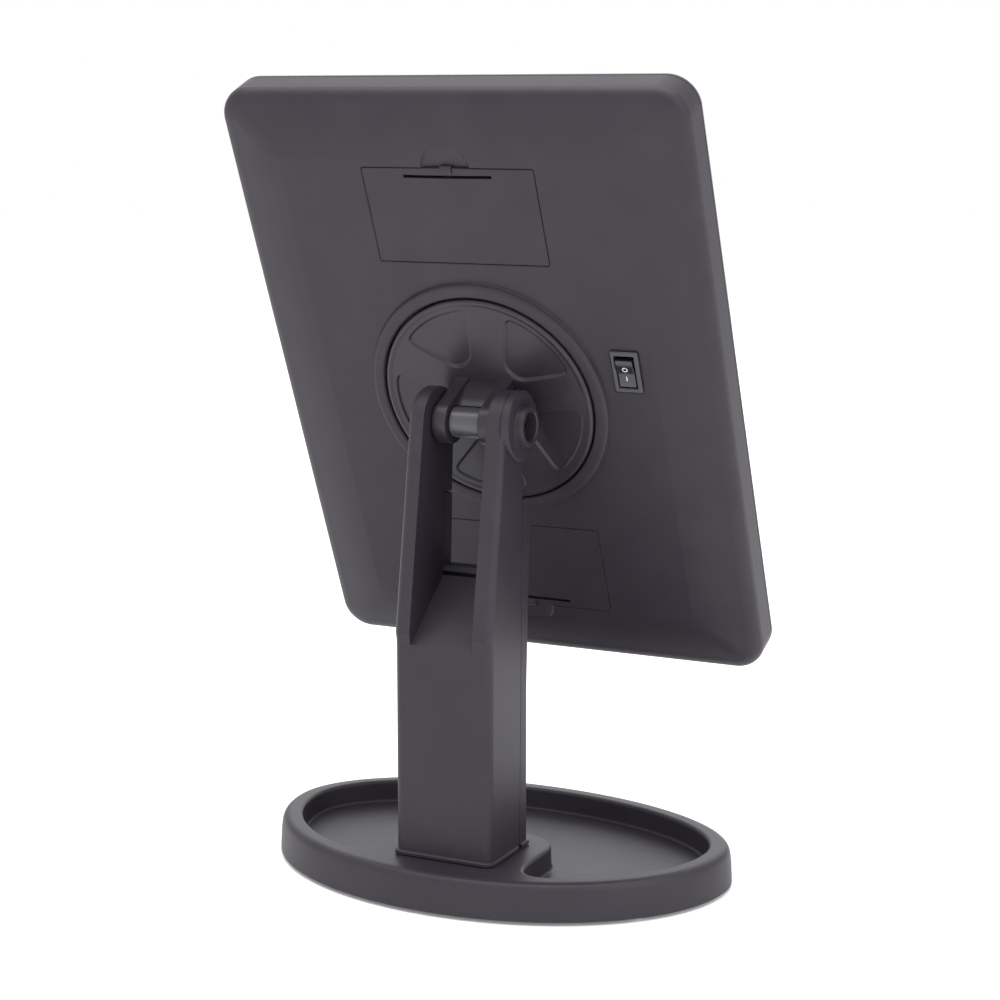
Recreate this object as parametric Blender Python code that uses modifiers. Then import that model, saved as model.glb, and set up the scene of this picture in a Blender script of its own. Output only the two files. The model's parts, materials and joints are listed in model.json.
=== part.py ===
"""Lighted tabletop vanity mirror: oval tray foot, forked column, tilting and swivelling mirror head."""
import math

import bmesh
import bpy
from mathutils import Matrix, Vector

MM = 0.001
GAP = 0.3

# ---- mirror head: sizes in mm, depth runs from the back plane towards the glass ----
HEAD_LEAN = 22.92
DISC_CENTRE = (0.0, 1.44, 171.72)
HEAD_HALF_W = 86.2
HEAD_HALF_H = 112.0
HEAD_RISE = 1.0
HEAD_CORNER = 11.0
HEAD_DEPTH = 21.0
SHELL_WALL = 2.0
COVER_SPLIT = 16.9
WALL_TOP = 8.4
GLASS_FRONT = 19.6
GLASS_WALL = 2.0

# ---- battery lids and cells ----
LID_W = 64.0
LID_H = 34.9
LID_INNER = 52.45
LID_WALL = 1.6
LID_PROUD = 0.1
SLOT_W = 32.9
SLOT_RISE = 31.9
THUMB_R = 9.1
TUB_HALF_W = 31.2
CELL_R = 7.05
CELL_LENGTH = 49.4
CELL_DEPTH = 9.15
CELL_PITCH = 16.0

# ---- swivel disc and tilt pin ----
RING_R = 45.0
RING_RISE = 2.2
WELL_R = 40.1
WELL_DEPTH = 1.8
DISC_R = 39.5
NECK_R = 12.1
PIN_HEIGHT = 17.0
PIN_R = 2.4
PIN_HOLE_R = 2.7
HUB_R = 7.6
ARM_INNER = 6.1
ARM_OUTER = 10.9
ARM_ROOT = 8.6
SLEEVE_R = 5.4
SPOKES = 5
SPOKE_W = 13.2
SPOKE_TURN = 9.0

# ---- rocker switch ----
SWITCH_X = -53.9
SWITCH_V = 13.9
SWITCH_W = 10.4
SWITCH_H = 15.9
ROCKER_THROW = 9.0
ROCKER_PIVOT = 1.0

# ---- column ----
COLUMN_HALF_W = 18.2
COLUMN_REAR = 38.8
COLUMN_FRONT = 10.3
COLUMN_NOSE = 7.7
SHOULDER_Z = 92.0
EAR_R = 12.0
EAR_PAD = 1.6
EAR_BOSS = 4.6
EAR_BOSS_R = 7.0
SOCKET_R = 5.1
SLOT_HALF_W = 12.0
TONGUE = 2.8
SEAM_LOW = (12.0, 14.65)
SEAM_HIGH = (14.2, 139.0)
LIP_Z = 113.5

# ---- foot ----
FOOT_A = 86.8
FOOT_REAR = 65.1
FOOT_FRONT = 50.2
FOOT_WIDEST = -9.7
FOOT_TOP = 14.35
FOOT_LOW = 1.2
RIM_W = 8.3
TRAY_FLOOR = 6.0
ISLAND_HALF_W = 28.0
ISLAND_FRONT = -1.0
ISLAND_CORNER = 14.0

FACE_FRAME = Matrix.Translation(Vector(DISC_CENTRE) * MM) @ Matrix.Rotation(math.radians(90 - HEAD_LEAN), 4, "X")
WORLD = Matrix.Identity(4)
ACROSS = Matrix(((0, 0, 1, 0), (1, 0, 0, 0), (0, 1, 0, 0), (0, 0, 0, 1)))
PIN = FACE_FRAME @ Vector((0, 0, -PIN_HEIGHT * MM))
PIN_Y = PIN.y / MM
PIN_Z = PIN.z / MM


def clear_scene():
    for item in list(bpy.data.objects):
        bpy.data.objects.remove(item, do_unlink=True)


def material(name, colour, roughness, metallic=0.0):
    mat = bpy.data.materials.new(name)
    mat.use_nodes = True
    shader = mat.node_tree.nodes["Principled BSDF"]
    shader.inputs["Base Color"].default_value = (*colour, 1.0)
    shader.inputs["Roughness"].default_value = roughness
    shader.inputs["Metallic"].default_value = metallic
    mat.diffuse_color = (*colour, 1.0)
    return mat


def from_bmesh(bm, name):
    bmesh.ops.remove_doubles(bm, verts=bm.verts, dist=1e-6)
    bmesh.ops.recalc_face_normals(bm, faces=bm.faces)
    mesh = bpy.data.meshes.new(name)
    bm.to_mesh(mesh)
    bm.free()
    obj = bpy.data.objects.new(name, mesh)
    bpy.context.scene.collection.objects.link(obj)
    return obj


def baked(obj):
    """Replace an object by the mesh its curve or modifiers make."""
    bpy.context.view_layer.update()
    graph = bpy.context.evaluated_depsgraph_get()
    mesh = bpy.data.meshes.new_from_object(obj.evaluated_get(graph))
    bm = bmesh.new()
    bm.from_mesh(mesh)
    name = obj.name
    bpy.data.objects.remove(obj, do_unlink=True)
    bpy.data.meshes.remove(mesh)
    return from_bmesh(bm, name)


def moved(obj, matrix):
    obj.data.transform(matrix)
    return obj


def shifted(obj, x=0.0, y=0.0, z=0.0):
    return moved(obj, Matrix.Translation(Vector((x, y, z)) * MM))


def join(target, other, operation="UNION"):
    modifier = target.modifiers.new(operation.title(), "BOOLEAN")
    modifier.operation = operation
    modifier.solver = "EXACT"
    modifier.object = other
    result = baked(target)
    bpy.data.objects.remove(other, do_unlink=True)
    return result


def cut(target, *cutters):
    for cutter in cutters:
        target = join(target, cutter, "DIFFERENCE")
    return target


def add(target, *others):
    for other in others:
        target = join(target, other)
    return target


def box(name, low, high):
    bm = bmesh.new()
    bmesh.ops.create_cube(bm, size=1.0)
    size = Vector(high) - Vector(low)
    middle = (Vector(high) + Vector(low)) / 2
    bmesh.ops.scale(bm, vec=size * MM, verts=bm.verts)
    bmesh.ops.translate(bm, vec=middle * MM, verts=bm.verts)
    return from_bmesh(bm, name)


def rod(name, radius, low, high, at=(0, 0), segments=24, top_radius=None):
    """Round bar along local Z between two heights."""
    bm = bmesh.new()
    top = radius if top_radius is None else top_radius
    bmesh.ops.create_cone(bm, cap_ends=True, segments=segments, radius1=radius * MM, radius2=top * MM,
                          depth=(high - low) * MM)
    bmesh.ops.translate(bm, vec=Vector((at[0], at[1], (low + high) / 2)) * MM, verts=bm.verts)
    return from_bmesh(bm, name)


def plate(name, outlines, low, high):
    """Flat piece from closed outlines in local XY, between two heights on local Z."""
    curve = bpy.data.curves.new(name, "CURVE")
    curve.dimensions = "2D"
    curve.fill_mode = "BOTH"
    curve.extrude = (high - low) / 2 * MM
    for outline in outlines:
        spline = curve.splines.new("POLY")
        spline.points.add(len(outline) - 1)
        for point, (x, y) in zip(spline.points, outline):
            point.co = (x * MM, y * MM, 0, 1)
        spline.use_cyclic_u = True
    obj = bpy.data.objects.new(name, curve)
    bpy.context.scene.collection.objects.link(obj)
    return shifted(baked(obj), z=(low + high) / 2)


def turned(name, profile, steps=48):
    """Solid of revolution about local Z from a closed half section of (radius, height)."""
    bm = bmesh.new()
    verts = [bm.verts.new((r * MM, 0, z * MM)) for r, z in profile]
    for first, second in zip(verts, verts[1:] + verts[:1]):
        if first.co.x > 0 or second.co.x > 0:
            bm.edges.new((first, second))
    mesh = bpy.data.meshes.new(name)
    bm.to_mesh(mesh)
    bm.free()
    obj = bpy.data.objects.new(name, mesh)
    bpy.context.scene.collection.objects.link(obj)
    screw = obj.modifiers.new("Turn", "SCREW")
    screw.axis = "Z"
    screw.steps = steps
    screw.render_steps = steps
    screw.use_merge_vertices = True
    screw.merge_threshold = 0.00001
    return baked(obj)


def wire(name, points, radius):
    curve = bpy.data.curves.new(name, "CURVE")
    curve.dimensions = "3D"
    curve.bevel_depth = radius * MM
    curve.bevel_resolution = 1
    curve.use_fill_caps = True
    spline = curve.splines.new("POLY")
    spline.points.add(len(points) - 1)
    for point, place in zip(spline.points, points):
        point.co = (*(Vector(place) * MM), 1)
    obj = bpy.data.objects.new(name, curve)
    bpy.context.scene.collection.objects.link(obj)
    return baked(obj)


def loft(name, loops, ring=False):
    """Skin through matching closed loops; the ends are capped, or joined to each other for a ring."""
    bm = bmesh.new()
    rows = [[bm.verts.new(Vector(point) * MM) for point in loop] for loop in loops]
    pairs = list(zip(rows, rows[1:]))
    if ring:
        pairs.append((rows[-1], rows[0]))
    else:
        bm.faces.new(rows[0])
        bm.faces.new(rows[-1])
    for low, high in pairs:
        for index, vert in enumerate(low):
            bm.faces.new((low[index - 1], vert, high[index], high[index - 1]))
    return from_bmesh(bm, name)


def soften(obj, width, segments, chosen):
    """Round the edges for which chosen(edge) is true."""
    bm = bmesh.new()
    bm.from_mesh(obj.data)
    edges = [edge for edge in bm.edges if chosen(edge)]
    bmesh.ops.bevel(bm, geom=edges, offset=width * MM, segments=segments, profile=0.5, affect="EDGES",
                    clamp_overlap=True)
    name = obj.name
    bpy.data.objects.remove(obj, do_unlink=True)
    return from_bmesh(bm, name)


def upright(edge, least=0.4):
    """True for a sharp edge that runs along local Z."""
    run = edge.verts[1].co - edge.verts[0].co
    return abs(run.z) > 0.99 * run.length and edge.calc_face_angle(0.0) > least


def rounded_rectangle(half_w, half_h, corner, centre=(0, 0), segments=5):
    points = []
    for sx, sy, start in ((1, 1, 0), (-1, 1, 90), (-1, -1, 180), (1, -1, 270)):
        for step in range(segments + 1):
            angle = math.radians(start + 90 * step / segments)
            x = centre[0] + sx * (half_w - corner) + corner * math.cos(angle)
            y = centre[1] + sy * (half_h - corner) + corner * math.sin(angle)
            points.append((x, y))
    return points


def circle(radius, segments=32, centre=(0, 0)):
    angles = [2 * math.pi * step / segments for step in range(segments)]
    return [(centre[0] + radius * math.cos(a), centre[1] + radius * math.sin(a)) for a in angles]


def foot_outline(inset, segments=56):
    """Oval of the foot: one width, a longer half to the rear than to the front."""
    points = []
    for x, y in circle(1.0, segments):
        reach = FOOT_REAR if y > 0 else FOOT_FRONT
        points.append(((FOOT_A - inset) * x, FOOT_WIDEST + (reach - inset) * y))
    return points


def raised(outline, height):
    return [(x, y, height) for x, y in outline]


def head_loop(inset, depth, segments=5):
    corner = max(HEAD_CORNER - inset, 4.0)
    outline = rounded_rectangle(HEAD_HALF_W - inset, HEAD_HALF_H - inset, corner, (0, HEAD_RISE), segments)
    return raised(outline, depth)


def screw(name, head_r, head_h, shank_r, length, segments=16):
    """Self-tapping screw with its head's outer face at z = 0 and its shank up local Z."""
    body = rod(name, head_r, 0, head_h, segments=segments)
    body = add(body, rod("shank", shank_r, head_h / 2, head_h + length, segments=12))
    return cut(body, box("cross_a", (-head_r * 0.6, -0.3, -1), (head_r * 0.6, 0.3, head_h * 0.5)))


def finish(obj, name, mat, frame=WORLD, origin=(0, 0, 0), parent=None):
    """Name a piece, move its origin to a point of its own frame and put it in place."""
    obj.name = name
    obj.data.name = name
    here = Matrix.Translation(Vector(origin) * MM)
    obj.data.transform(here.inverted())
    obj.data.materials.clear()
    obj.data.materials.append(mat)
    obj.data.shade_smooth()
    obj.data.set_sharp_from_angle(angle=math.radians(32))
    if parent:
        obj.parent = parent
        obj.matrix_world = frame @ here
    else:
        obj.matrix_world = frame @ here
    return obj


def empty(name, matrix, parent=None):
    obj = bpy.data.objects.new(name, None)
    bpy.context.scene.collection.objects.link(obj)
    obj.parent = parent
    obj.matrix_world = matrix
    return obj


# ------------------------------------------------------------------ foot
def base_tray():
    body = loft("tray", [raised(foot_outline(inset), z) for inset, z in
                         ((0.0, FOOT_LOW), (0.7, FOOT_TOP - 2.6), (1.3, FOOT_TOP - 0.9), (3.0, FOOT_TOP))])
    recess = plate("recess", [foot_outline(RIM_W)], TRAY_FLOOR, FOOT_TOP + 4)
    island_mid = (ISLAND_FRONT + 80) / 2
    island = plate("island", [rounded_rectangle(ISLAND_HALF_W, 80 - island_mid, ISLAND_CORNER, (0, island_mid))],
                   TRAY_FLOOR - 2, FOOT_TOP + 6)
    recess = cut(recess, island)
    recess = soften(recess, 8.0, 5, lambda e: upright(e, 0.5) and e.verts[0].co.y > 0.02)
    body = cut(body, recess)
    under = plate("under", [foot_outline(2.4)], -1, TRAY_FLOOR - 1.7)
    channel = plate("channel", [foot_outline(2.4), foot_outline(6.2)], -1, FOOT_TOP - 2.2)
    body = cut(body, under, channel)
    hollow = plate("hollow", [rounded_rectangle(ISLAND_HALF_W - 2, 20.5, 8, (0, 23.0))], 0, FOOT_TOP - 2.2)
    body = cut(body, hollow)
    for x, y in BASE_SCREWS:
        boss = rod("boss", 3.4, 3.2, FOOT_TOP - 1.5, (x, y), 16)
        body = cut(add(body, boss), rod("pilot", 1.35, 0, 11.0, (x, y), 12))
    for x in FOOT_SCREW_X:
        body = cut(body, rod("hole", 1.8, 5, FOOT_TOP + 4, (x, FOOT_SCREW_Y), 16))
    return body


BASE_SCREWS = [foot_outline(4.3, 40)[index] for index in (4, 16, 23, 37)]
FOOT_SCREW_X = (-9.0, 9.0)
FOOT_SCREW_Y = 26.0


def bottom_cover():
    body = plate("bottom", [foot_outline(2.8)], 1.3, 2.5)
    for x, y in BASE_SCREWS:
        body = cut(body, rod("hole", 1.8, 0, 4, (x, y), 16))
    return body


# ------------------------------------------------------------------ column
def seam_y(z, offset=0.0):
    share = (z - SEAM_LOW[1]) / (SEAM_HIGH[1] - SEAM_LOW[1])
    return SEAM_LOW[0] + share * (SEAM_HIGH[0] - SEAM_LOW[0]) + offset


def ramp_z(y, drop=0.0):
    return 90.0 + (COLUMN_REAR - y) * 0.805 - drop


def fork_profile():
    """Side outline of the rear shell: straight post, leaning prong and round ear, as (y, z)."""
    low = SEAM_LOW[1]
    shoulder = (COLUMN_REAR + 0.7, SHOULDER_Z + 2)
    reach = math.hypot(shoulder[0] - PIN_Y, shoulder[1] - PIN_Z)
    start = math.atan2(shoulder[1] - PIN_Z, shoulder[0] - PIN_Y) + math.acos(EAR_R / reach)
    front = seam_y(150, GAP / 2 + 0.4)
    end = 2 * math.pi - math.acos((front - PIN_Y) / EAR_R)
    steps = 20
    arc = []
    for step in range(steps + 1):
        angle = start + (end - start) * step / steps
        arc.append((PIN_Y + EAR_R * math.cos(angle), PIN_Z + EAR_R * math.sin(angle)))
    return [(seam_y(low, GAP / 2), low), (COLUMN_REAR, low), (COLUMN_REAR, SHOULDER_Z - 2), shoulder] + arc


def side_solid(name, outline, half_w):
    return moved(plate(name, [outline], -half_w, half_w), ACROSS)


def lying(obj, y=0.0, z=0.0):
    """Turn a piece made along local Z so that it runs along X."""
    return shifted(moved(obj, ACROSS), 0, y, z)


def column_rear_shell():
    body = side_solid("rear", fork_profile(), COLUMN_HALF_W)

    def outer_rim(edge):
        middle = (edge.verts[0].co + edge.verts[1].co) / 2 / MM
        on_side = abs(edge.verts[0].co.x - edge.verts[1].co.x) < 1e-6
        return on_side and middle.z > SEAM_LOW[1] + 0.5 and middle.y > seam_y(middle.z, 2.4)

    body = soften(body, 2.6, 3, outer_rim)
    low = SEAM_LOW[1]
    hollow = [(4, low + 2.4), (COLUMN_REAR - 2.2, low + 2.4), (COLUMN_REAR - 2.2, ramp_z(COLUMN_REAR - 2.2, 2.8)),
              (4, ramp_z(4, 2.8))]
    body = cut(body, side_solid("hollow", hollow, COLUMN_HALF_W - 2.2))
    for radius, height in ((EAR_R + 0.3, EAR_PAD), (EAR_BOSS_R, EAR_BOSS)):
        pad = rod("pad", radius, -COLUMN_HALF_W - height, 1.0 - COLUMN_HALF_W, segments=40)
        body = add(body, lying(pad, PIN_Y, PIN_Z))
    step = SEAM_HIGH[1] + 0.4
    tongue = [(COLUMN_NOSE + 0.2, step), (17.0, step), (17.0, PIN_Z - 10), (12.0, PIN_Z - 3), (PIN_Y - 10.6, PIN_Z - 5.1)]
    body = add(body, side_solid("tongue", tongue, SLOT_HALF_W + TONGUE))
    fork = [(48, ramp_z(48)), (48, 200), (2, 200), (2, ramp_z(2))]
    body = cut(body, side_solid("fork", fork, SLOT_HALF_W))
    body = cut(body, lying(rod("pin_hole", PIN_HOLE_R, -30, 30, segments=24), PIN_Y, PIN_Z))
    for radius, low_x, high_x in ((SOCKET_R, -30, -16.8), (4.6, 14.9, 30)):
        body = cut(body, lying(rod("counterbore", radius, low_x, high_x, segments=32), PIN_Y, PIN_Z))
    flange_mid = (seam_y(low, GAP / 2) + COLUMN_REAR + 1.0) / 2
    flange = plate("flange", [rounded_rectangle(COLUMN_HALF_W + 1.0, COLUMN_REAR + 1.0 - flange_mid, 3.0,
                                                (0, flange_mid))], low, low + 1.5)
    body = add(body, flange)
    for z in COVER_SCREW_Z:
        post = moved(rod("post", 3.4, 14.8, COLUMN_REAR - 1.0, (0, 0), 20), ALONG_Y)
        body = add(body, shifted(post, 0, 0, z))
        pilot = moved(rod("pilot", 1.35, 10, 28, (0, 0), 12), ALONG_Y)
        body = cut(body, shifted(pilot, 0, 0, z))
    for x in FOOT_SCREW_X:
        body = add(body, rod("boss", 3.4, low + 1.0, low + 12, (x, FOOT_SCREW_Y), 16))
        body = cut(body, rod("pilot", 1.35, low - 2, low + 10, (x, FOOT_SCREW_Y), 12))
    return body


COVER_SCREW_Z = (45.0, 80.0)
ALONG_Y = Matrix(((1, 0, 0, 0), (0, 0, 1, 0), (0, -1, 0, 0), (0, 0, 0, 1)))


def nose_y(z):
    """Front face of the column at a height."""
    share = min(max((z - 70) / 68, 0), 1)
    return COLUMN_FRONT + share * (COLUMN_NOSE - COLUMN_FRONT)


def column_front_cover():
    low = SEAM_LOW[1]
    top = SEAM_HIGH[1]
    outline = [(nose_y(low), low), (seam_y(low, -GAP / 2), low), (seam_y(top, -GAP / 2), top),
               (nose_y(138) + 1.0, top), (nose_y(138), top - 2.0), (nose_y(70), 70)]
    body = side_solid("front", outline, COLUMN_HALF_W)

    def nose_rim(edge):
        middle = (edge.verts[0].co + edge.verts[1].co) / 2 / MM
        on_side = abs(edge.verts[0].co.x - edge.verts[1].co.x) < 1e-6
        return on_side and low + 0.5 < middle.z < top - 2.2 and middle.y < seam_y(middle.z, -1.2)

    body = soften(body, 1.5, 3, nose_rim)
    hollow = [(nose_y(low) + 1.8, low + 2), (20, low + 2), (20, LIP_Z - 2), (nose_y(LIP_Z) + 1.8, LIP_Z - 2),
              (nose_y(70) + 1.8, 70)]
    body = cut(body, side_solid("hollow", hollow, COLUMN_HALF_W - 2.2))
    body = cut(body, box("fork", (-SLOT_HALF_W, 0, LIP_Z), (SLOT_HALF_W, 30, top + 10)))
    flange_mid = (COLUMN_FRONT - 1.0 + seam_y(low, -GAP / 2)) / 2
    body = add(body, plate("flange", [rounded_rectangle(COLUMN_HALF_W + 1.0, seam_y(low, -GAP / 2) - flange_mid, 1.2,
                                                        (0, flange_mid), 3)], low, low + 1.5))
    for z in COVER_SCREW_Z:
        hole = moved(rod("hole", 1.7, 0, 30, (0, 0), 16), ALONG_Y)
        body = cut(body, shifted(hole, 0, 0, z))
        sink = moved(rod("sink", 3.1, 0, nose_y(z) + 1.15, (0, 0), 20), ALONG_Y)
        body = cut(body, shifted(sink, 0, 0, z))
    return body


def pivot_bolt():
    body = rod("bolt", 4.2, -20.2, -17.1, segments=32)
    body = add(body, rod("shank", PIN_R, -18, 18.0, segments=24))
    return cut(body, rod("socket", 2.3, -24, -18.4, segments=6))


def pivot_nut():
    body = rod("nut", 4.25, 15.2, 17.9, segments=6)
    return cut(body, rod("bore", PIN_HOLE_R, 10, 30, segments=24))


def tube(name, outer, inner, low, high, segments=32):
    return cut(rod(name, outer, low, high, segments=segments), rod("bore", inner, low - 5, high + 5, segments=24))


# ------------------------------------------------------------------ swivel bracket
def pocket_outline(index):
    """One of the sunk fields between two spokes of the swivel disc."""
    turn = 90 + SPOKE_TURN + index * 360 / SPOKES
    half = SPOKE_W / 2
    inner, outer = 15.5, 35.5
    first, second = math.radians(turn), math.radians(turn + 360 / SPOKES)

    def on_arc(radius, share):
        skew = math.asin(half / radius)
        angle = first + skew + share * (second - first - 2 * skew)
        return radius * math.cos(angle), radius * math.sin(angle)

    steps = 5
    outside = [on_arc(outer, step / steps) for step in range(steps + 1)]
    inside = [on_arc(inner, 1 - step / 3) for step in range(4)]
    return outside + inside


def swivel_disc():
    face = -1.9
    body = turned("disc", [(0, face), (37.0, face), (37.6, face - 0.4), (38.8, face - 0.4), (DISC_R, face + 0.3),
                           (DISC_R, 1.2), (39.1, 1.5), (NECK_R, 1.5), (NECK_R, 4.4), (0, 4.4)], 48)
    for index in range(SPOKES):
        pocket = plate("pocket", [pocket_outline(index)], -6, face + 1.7)
        pocket = soften(pocket, 3.0, 2, lambda e: upright(e, 0.8))
        body = cut(body, pocket)
    side = [(HUB_R * math.cos(math.radians(a)), -PIN_HEIGHT - HUB_R * math.sin(math.radians(a)))
            for a in range(0, 181, 15)]
    side += [(-ARM_ROOT, face - 1.0), (-ARM_ROOT - 1.0, face + 1.0), (ARM_ROOT + 1.0, face + 1.0),
             (ARM_ROOT, face - 1.0)]
    for sign in (-1, 1):
        ends = sorted((sign * ARM_INNER, sign * ARM_OUTER))
        arm = moved(plate("arm", [side], *ends), ACROSS)
        arm = soften(arm, 0.5, 2, lambda e: e.calc_face_angle(0.0) > 0.9 and abs(
            e.verts[0].co.x - e.verts[1].co.x) < 1e-6 and e.verts[0].co.z < -0.004)
        body = add(body, arm)
    upper = [(8.2, face + 1.0), (7.6, -5.0), (6.4, -9.0), (5.2, -12.0), (3.6, -14.0)]
    web = upper + [(-x, y) for x, y in reversed(upper)]
    body = add(body, moved(plate("web", [web], -ARM_INNER - 0.5, ARM_INNER + 0.5), ACROSS))
    for radius, half in ((SLEEVE_R + 0.3, ARM_INNER), (4.0, 20)):
        body = cut(body, lying(rod("bore", radius, -half, half, segments=24), 0, -PIN_HEIGHT))
    for x, y in RETAINER_SCREWS:
        body = cut(body, rod("pilot", 1.2, -0.2, 8, (x, y), 12))
    return body


RETAINER_SCREWS = circle(8.0, 3)


def wave_washer():
    flat = plate("washer", [circle(18.0, 48), circle(13.2, 32)], 3.95, 4.4)
    return flat


def disc_retainer():
    body = rod("retainer", 19.0, 4.75, 6.6, segments=40)
    for x, y in RETAINER_SCREWS:
        body = cut(body, rod("hole", 1.6, 0, 10, (x, y), 16))
    return body


# ------------------------------------------------------------------ mirror head
COVER_STEPS = ((0.0, COVER_SPLIT), (0.0, WALL_TOP), (0.45, 6.7), (1.6, 5.3), (3.4, 4.3), (6.0, 3.5), (11.0, 2.1),
               (17.0, 0.8), (23.0, 0.0))


def lid_box(name, side, grow, low, high):
    mid = side * (LID_INNER + LID_H / 2)
    half_w = LID_W / 2 + grow
    half_h = LID_H / 2 + grow
    return box(name, (-half_w, mid - half_h, low), (half_w, mid + half_h, high))


def rear_cover():
    outer = loft("cover", [head_loop(inset, depth) for inset, depth in COVER_STEPS])
    inner_steps = [(inset + SHELL_WALL, depth + SHELL_WALL) for inset, depth in COVER_STEPS]
    inner_steps[0] = (SHELL_WALL, COVER_SPLIT + 5)
    body = cut(outer, loft("core", [head_loop(inset, depth) for inset, depth in inner_steps]))
    body = cut(body, rod("opening", RING_R - 1.5, -5, 8, segments=64))
    well_floor = WELL_DEPTH + 1.8
    collar = turned("collar", [(NECK_R + 0.3, WELL_DEPTH), (WELL_R, WELL_DEPTH), (WELL_R, -RING_RISE + 0.6),
                               (WELL_R + 0.6, -RING_RISE), (RING_R - 2.2, -RING_RISE), (RING_R - 0.6, -RING_RISE + 0.7),
                               (RING_R, 0.25), (RING_R, SHELL_WALL - 0.25), (RING_R - 2.5, well_floor),
                               (NECK_R + 0.3, well_floor)], 48)
    body = add(body, collar)
    for side in (-1, 1):
        body = cut(body, lid_box("lid_hole", side, GAP, -3, 6))
        mid = side * (LID_INNER + LID_H)
        scoop = rod("scoop", THUMB_R, -3.0, 1.0, (0, mid), 32, top_radius=THUMB_R - 2.0)
        body = cut(body, scoop)
    body = cut(body, box("switch_hole", (SWITCH_X - 4.7, SWITCH_V - 7.2, -3), (SWITCH_X + 4.7, SWITCH_V + 7.2, 6)))
    for x, y in BOARD_POSTS:
        body = add(body, rod("post", 2.2, 1.0, 7.4, (x, y), 16))
    return body


BOARD_POSTS = ((-24.0, 40.0), (-44.0, 46.0))


def front_bezel():
    """Outer frame with a rolled front edge and a thin lip over the glass."""
    front = HEAD_DEPTH
    steps = ((0.0, COVER_SPLIT + GAP), (0.0, front - 3.4), (0.9, front - 1.3), (3.0, front - 0.1), (4.4, front),
             (7.2, front), (7.6, front - 0.4), (7.6, GLASS_FRONT + GAP), (3.2, GLASS_FRONT + GAP),
             (3.2, COVER_SPLIT + GAP))
    return loft("bezel", [head_loop(inset, depth) for inset, depth in steps], ring=True)


def mirror_glass():
    glass = plate("glass", [rounded_rectangle(HEAD_HALF_W - 4.0, HEAD_HALF_H - 4.0, 7.5, (0, HEAD_RISE), 8)],
                  GLASS_FRONT - GLASS_WALL, GLASS_FRONT)
    return glass


def light_diffuser():
    outer = rounded_rectangle(HEAD_HALF_W - 4.5, HEAD_HALF_H - 4.5, 7, (0, HEAD_RISE), 5)
    inner = rounded_rectangle(HEAD_HALF_W - 17.0, HEAD_HALF_H - 17.0, 4, (0, HEAD_RISE), 3)
    return plate("diffuser", [outer, inner], 16.3, 17.2)


def light_strip(length, count, horizontal):
    """Narrow circuit board with a row of raised light emitters on its front."""
    half = length / 2
    low, high = (-half, -3.5, 13.4), (half, 3.5, 14.4)
    body = box("strip", low, high)
    pitch = length / count
    for index in range(count):
        at = -half + pitch * (index + 0.5)
        body = add(body, box("emitter", (at - 1.75, -1.4, 14.0), (at + 1.75, 1.4, 15.6)))
    if not horizontal:
        moved(body, Matrix.Rotation(math.radians(90), 4, "Z"))
    return body


def driver_board():
    body = box("board", (-50.0, 27.0, 7.7), (-20.0, 48.0, 9.1))
    parts = ((-46, 30, -40, 36, 12.4), (-37, 31, -32, 34, 11.2), (-30, 30, -23, 37, 11.8), (-40, 39, -30, 43, 10.8))
    for x0, y0, x1, y1, top in parts:
        body = add(body, box("chip", (x0, y0, 8.4), (x1, y1, top)))
    return body


def battery_tub(side):
    mid = side * (LID_INNER + LID_H / 2)
    outer = box("tub", (-TUB_HALF_W, mid - 18.6, 3.5), (TUB_HALF_W, mid + 18.6, 17.2))
    return cut(outer, box("room", (-TUB_HALF_W + 1.2, mid - 17.4, 0), (TUB_HALF_W - 1.2, mid + 17.4, 16.5)))


def battery_cell(flip):
    """Round cell lying along X, with its raised contact at one end."""
    half = CELL_LENGTH / 2
    body = turned("cell", [(0, half + 1.1), (2.6, half + 1.1), (2.6, half), (CELL_R - 0.5, half), (CELL_R, half - 0.5),
                           (CELL_R, -half + 0.5), (CELL_R - 0.5, -half), (0, -half)], 28)
    turn = Matrix.Rotation(math.pi, 4, "Y") if flip else WORLD
    return moved(moved(body, turn), ACROSS_FLAT)


ACROSS_FLAT = Matrix.Rotation(math.pi / 2, 4, "Y")


def contact_spring():
    """Conical coil between the flat end of a cell and its contact plate."""
    turns, steps = 3, 9
    points = []
    for step in range(turns * steps + 1):
        share = step / (turns * steps)
        angle = 2 * math.pi * turns * share
        radius = 4.4 - 1.8 * share
        points.append((0.7 + 6.2 * share, radius * math.cos(angle), radius * math.sin(angle)))
    return wire("spring", points, 0.35)


def battery_lid(side):
    """Snap-in lid: finger slot and latch on its outer edge, two hinge tabs on its inner edge."""
    body = lid_box("lid", side, 0.0, LID_PROUD, LID_PROUD + LID_WALL)
    far = side * (LID_INNER + SLOT_RISE)
    body = cut(body, box("slot", (-SLOT_W / 2, far - 0.4, -2), (SLOT_W / 2, far + 0.4, 4)))
    edge = side * (LID_INNER + LID_H)
    low, high = sorted((edge - side * 1.6, edge - side * 0.02))
    body = add(body, box("latch", (-1.8, low, -0.5), (1.8, high, 0.8)))
    for x in (-20, 20):
        for reach, top in ((0.4, LID_WALL - 0.4), (-0.9, SHELL_WALL + 0.35)):
            low, high = sorted((side * (LID_INNER + reach), side * (LID_INNER + 1.6)))
            body = add(body, box("tab", (x - 4, low, top), (x + 4, high, SHELL_WALL + 1.2)))
    return body


def switch_housing():
    half_w, half_h = SWITCH_W / 2, SWITCH_H / 2
    body = box("bezel", (-half_w, -half_h, -1.2), (half_w, half_h, -GAP))
    body = soften(body, 0.5, 2, lambda e: e.verts[0].co.z < -0.0009 and e.verts[1].co.z < -0.0009)
    body = add(body, box("body", (-4.4, -6.9, -0.8), (4.4, 6.9, 9.5)))
    return cut(body, box("well", (-3.4, -6.05, -5), (3.4, 6.05, 3.4)))


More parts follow.
